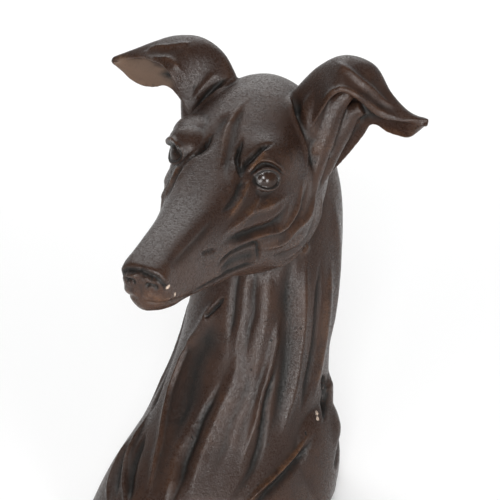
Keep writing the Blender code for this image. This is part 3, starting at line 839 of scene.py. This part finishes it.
resin = {
    "specular": 0.29,
    "bump": {"Strength": 0.55, "Distance": 0.0006},
    "ballBump": 0.8,            # how much of the bump the eyeballs are without
    "wornAndShaded": ("hollow", "ridge", "rub", "paintedTopLight", "ball"),
    # scale, detail, roughness
    "noises": {
        "fine": (800, 4, 0.75),
        "coarse": (200, 3, 0.6),
        "drift": (160, 4, 0.6),
    },
    # the same, then the values between which it fades in
    "blotches": {
        "clouds": (30, 5, 0.6, 0.40, 0.64),
        "specks": (750, 3, 0.7, 0.44, 0.66),
        "pores": (330, 3, 0.6, 0.66, 0.72),
        "rubbing": (120, 4, 0.65, 0.30, 0.65),
        "chipping": (900, 2, 0.6, 0.35, 0.5),
    },
    # a plain number, then the weights of the layers that are added to it
    "mixtures": {
        # dust and painted top light: the skin is greyed as a sheen where it faces up, and in drifts of
        # noise
        "dustAndTopLight": (-0.5, {"paintedTopLight": 0.6, "drift": 0.6}),
        # browner where the skin faces away from the painted top light, a painted shade, and in random
        # clouds
        "brown": (0.3, {"clouds": 0.7, "paintedTopLight": -0.6}),
        "grey": (0.0, {"dustAndTopLight": 0.7, "specks": 0.28, "ball": -0.4}),
        "orange": (0.0, {"rub": 0.8, "ridge": 0.15}),
        "pale": (0.0, {"paleEar": 0.35}),
        # painted shade, laid with the dark patina, in hollows, darkened grooves and round the lids;
        # then pinholes, eyeballs and pores
        "black": (0.0, {"hollow": 1.1, "pinholes": 1.0, "ball": 0.4, "pores": 0.6}),
        "chip": (0.0, {"chips": 1.0}),
        "roughness": (0.24, {
            "ridge": -0.06, "skinSpecks": 0.40, "hollow": 0.25, "clouds": 0.06, "ball": -0.06}),
        "height": (0.0, {
            "fine": 0.6, "coarse": 0.6, "pinholes": -1.5, "chips": -0.8, "pores": -0.5}),
    },
    # colours from the ground up, each with the blotches that break it up
    "coats": {
        "brown": None, "grey": None, "orange": "rubbing", "pale": None, "black": None,
        "chip": "chipping",
    },
}


def resinFinish(points, shift):
    # coats of colour laid over the base, each as strong as its mixture of what is found on the
    # skin; the roughness and the bump's height are such mixtures too
    finish = Finish("patinatedResin", patina["base"][:3], resin["mixtures"]["roughness"][0])
    finish.set("Specular IOR Level", resin["specular"])
    found = {name: finish.wornAndShaded(name) for name in resin["wornAndShaded"]}
    found |= {name: markMask(finish, mark, points, shift) for name, mark in marks.items()}
    found |= {name: finish.noise(*values) for name, values in resin["noises"].items()}
    found |= {name: finish.blotches(*values) for name, values in resin["blotches"].items()}

    def mixture(name):
        # the plain number plus each layer times its weight
        total, weights = resin["mixtures"][name]
        for layer, weight in weights.items():
            total = total + found[layer] * weight
        return total

    found["dustAndTopLight"] = mixture("dustAndTopLight").kept()
    found["skinSpecks"] = found["specks"] * (1.0 - found["ball"])
    colour = patina["base"]
    for name, broken in resin["coats"].items():
        cover = mixture(name) * found[broken] if broken else mixture(name)
        colour = finish.blend(cover.kept(), colour, patina[name])
    finish.set("Base Color", colour)
    finish.set("Roughness", mixture("roughness").kept())
    height = mixture("height") * (1.0 - found["ball"] * resin["ballBump"])
    bump = finish.node("ShaderNodeBump", {}, resin["bump"] | {"Height": height})
    finish.set("Normal", bump)
    return finish.material


lidShadeBells = {
    # share of the lid's opening, width as such a share, darkness
    "bells": ((0.80, 0.07, 0.8), (1.28, 0.1, 0.5)),
    "edge": 0.8,                # the ball shows within this share
    "reach": 0.7,               # times the ball's diameter, from its middle
}


def lidShade(points):
    # painted shade inside and outside the lid cord: bells about shares of the lid's opening,
    # measured by the tangents from the eye's gaze
    place = np.array(headToModel())
    shade, ball = np.zeros((2, len(points)))
    for side in (1, -1):
        middle, nose, up, gaze = eyeAxes(side)
        turned = (points - (place[:3, :3] @ middle + place[:3, 3])) @ place[:3, :3]
        ahead = turned @ gaze
        far = np.linalg.norm(turned, axis=1)
        close = (ahead > 0) & (far < lidShadeBells["reach"] * eyeForm["diameter"])
        wide, rise = turned[close] @ nose / ahead[close], turned[close] @ up / ahead[close]
        inner, outer, high, low = eyeForm["opening"]
        share = np.hypot(wide / np.where(wide > 0, inner, outer), rise / np.where(rise > 0, high, low))
        for at, width, dark in lidShadeBells["bells"]:
            shade[close] += dark * np.exp(-(((share - at) / width) ** 2))
        ball[close] = share < lidShadeBells["edge"]
    return shade, ball


wearAndShadeSettings = {
    "rounds": 40,               # softenings of the surroundings that a point is held against
    "height": 0.0009,           # a point this far over them counts as 1
    "shape": 0.6,               # weight of that count, and of the lines' height in parts
    "lines": 0.11,
    "cells": 4096,              # most sampling cells along an axis
}


def wearAndShade(mesh, worked):
    # how far each point stands over its softened surroundings, together with the height of the lines
    # carved there, gives ridges and hollows; rubbing and heights are read from the worked clay's point
    # in the same sampling cell. The hollows, the grooves drawn darker and the ring round the lids are
    # painted shade over the dark patina, and how far the skin faces up is painted top light
    points = readPoints(mesh)
    normals = readPoints(mesh, "normal")
    edges = np.empty(len(mesh.edges) * 2, np.int64)
    mesh.edges.foreach_get("vertices", edges)
    a, b = edges.reshape(-1, 2).T
    count = np.bincount(np.concatenate([a, b]), minlength=len(points))[:, None]
    soft = points.copy()
    for _ in range(wearAndShadeSettings["rounds"]):
        total = np.zeros_like(soft)
        for axis in range(3):
            total[:, axis] = np.bincount(a, soft[b, axis], len(points))
            total[:, axis] += np.bincount(b, soft[a, axis], len(points))
        soft = (soft + total / count) / 2
    proud = np.sum((points - soft) * normals, axis=1) / wearAndShadeSettings["height"]
    clay, rubbedOrShaded, relief = worked
    places = wearAndShadeSettings["cells"] ** np.arange(3)
    key = np.round(clay / casting["sampling"]).astype(int) @ places
    wanted = np.round(points / casting["sampling"]).astype(int) @ places
    order = np.argsort(key)
    near = order[np.clip(np.searchsorted(key[order], wanted), 0, len(order) - 1)]
    rub = np.where(key[near] == wanted, rubbedOrShaded[near], 0)
    relief = np.where(key[near] == wanted, relief[near], 0)
    proud = wearAndShadeSettings["shape"] * proud + wearAndShadeSettings["lines"] * relief
    lidShading, ball = lidShade(points)
    # painted shade, with the dark patina: hollows, grooves drawn darker and the ring round the lids
    dark = np.clip(-proud, 0, 1) + np.clip(-rub, 0, 1) + lidShading
    layers = {"ridge": np.clip(proud, 0, 1), "hollow": np.clip(dark, 0, 1), "rub": np.clip(rub, 0, 1)}
    # painted top light: how far the skin faces up, from 0 facing down to 1 facing up
    layers |= {"paintedTopLight": normals[:, 2] / 2 + 0.5, "ball": ball}
    for name, value in layers.items():
        layer = mesh.attributes.new(name, "FLOAT", "POINT")
        layer.data.foreach_set("value", value.astype(np.float32))


def makeBust():
    # the skin is thinned out, cut flat, marked by wear and by painted shade and top light, moved into
    # the solid's box and finished
    skin, worked = bustSkin()
    bust = bpy.data.objects.new("greyhoundBust", skin)
    bpy.context.scene.collection.objects.link(bust)
    facets = bust.modifiers.new("facets", "DECIMATE")
    facets.ratio = min(1, casting["triangles"] / (2 * len(skin.polygons)))
    cast = appliedMesh(bust)
    bust.modifiers.clear()
    bust.data = cast
    cutFlat(cast)
    wearAndShade(cast, worked)
    shift = fitInside(cast)
    cast.materials.clear()
    cast.materials.append(resinFinish(readPoints(cast), shift))
    cast.shade_smooth()
    cast.set_sharp_from_angle(angle=math.radians(casting["sharp"]))
    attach(bust, "root")
    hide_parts("greyhound_bust")
    print("casting done:", len(cast.polygons), "faces")
    return shift


studio = {
    "azimuth": 44.74,
    "elevation": 21.81,
    "distance": 0.9993,
    "aim": (0.0269, -0.0001, -0.0475),      # from the point between the eyes
    "sensor": 36,
    "lens": 36 * 1600 / 500,    # 1600 pixels in a picture that is 500 wide
    "clip": 0.01,
    # the room's strength ahead of the camera and behind it, and the cosines it changes between
    "bright": 1.1,
    "dim": 0.22,
    "change": (-0.1, 0.75),
    "floor": {"half": 6.0, "shade": 0.90, "roughness": 0.9},
    # azimuth, elevation, distance, size, watts; the last one's back points straight up
    "lights": {
        "keySoftbox": (42, 22, 1.4, 0.35, 13),
        "leftSoftbox": (22, -3, 1.1, 0.3, 5),
        "rightSoftbox": (70, -3, 1.1, 0.3, 7),
        "floorSoftbox": (224, 46, 2.5, 2.4, 50, (0, 0, 1)),
    },
}


def towards(azimuth, elevation):
    # unit vector from the aim, azimuth counted from the front towards the dog's left
    turn, rise = math.radians(azimuth), math.radians(elevation)
    return Vector((math.sin(turn) * math.cos(rise), -math.cos(turn) * math.cos(rise), math.sin(rise)))


def softLight(name, aim, azimuth, elevation, distance, size, power, back=None):
    # a square lamp that faces the aim, or faces away from back where that is given
    light = bpy.data.lights.new(name, "AREA")
    light.energy = power
    light.size = size
    lamp = bpy.data.objects.new(name, light)
    bpy.context.scene.collection.objects.link(lamp)
    away = towards(azimuth, elevation)
    turned = Vector(back or away).to_track_quat("Z", "Y").to_matrix().to_4x4()
    lamp.matrix_world = Matrix.Translation(aim + away * distance) @ turned


def paleRoom():
    # white behind the bust, dimmer towards the camera's side: strength by the dot product
    # of the direction looked in with the camera's own
    world = bpy.data.worlds.new("paleRoom")
    world.use_nodes = True
    tree = world.node_tree
    sky = tree.nodes["Background"]
    sky.inputs["Color"].default_value = (1, 1, 1, 1)
    look = tree.nodes.new("ShaderNodeTexCoord").outputs["Generated"]
    facing = tree.nodes.new("ShaderNodeVectorMath")
    facing.operation = "DOT_PRODUCT"
    tree.links.new(look, facing.inputs[0])
    facing.inputs[1].default_value = -towards(studio["azimuth"], studio["elevation"])
    grade = tree.nodes.new("ShaderNodeMapRange")
    grade.interpolation_type = "SMOOTHSTEP"
    for slot, value in enumerate((*studio["change"], studio["dim"], studio["bright"]), 1):
        grade.inputs[slot].default_value = value
    tree.links.new(facing.outputs["Value"], grade.inputs[0])
    tree.links.new(grade.outputs[0], sky.inputs["Strength"])
    bpy.context.scene.world = world


def makeStudio(shift):
    floor = bpy.data.meshes.new("floor")
    look = studio["floor"]
    half = look["half"]
    corners = [(-half, -half, 0), (half, -half, 0), (half, half, 0), (-half, half, 0)]
    floor.from_pydata(corners, [], [(0, 1, 2, 3)])
    ground = bpy.data.objects.new("floor", floor)
    bpy.context.scene.collection.objects.link(ground)
    floor.materials.append(Finish("paleFloor", (look["shade"],) * 3, look["roughness"]).material)
    paleRoom()
    eyes = headToModel().translation + Vector(shift)
    aim = eyes + Vector(studio["aim"])
    for name, values in studio["lights"].items():
        softLight(name, aim, *values)
    lens = bpy.data.cameras.new("camera")
    lens.sensor_width = studio["sensor"]
    lens.lens = studio["lens"]
    lens.clip_start = studio["clip"]
    camera = bpy.data.objects.new("camera", lens)
    bpy.context.scene.collection.objects.link(camera)
    away = towards(studio["azimuth"], studio["elevation"])
    turned = away.to_track_quat("Z", "Y").to_matrix().to_4x4()
    camera.matrix_world = Matrix.Translation(aim + away * studio["distance"]) @ turned
    bpy.context.scene.camera = camera
    bpy.context.scene.view_settings.view_transform = "Standard"


shift = makeBust()
makeStudio(shift)
bpy.context.view_layer.update()
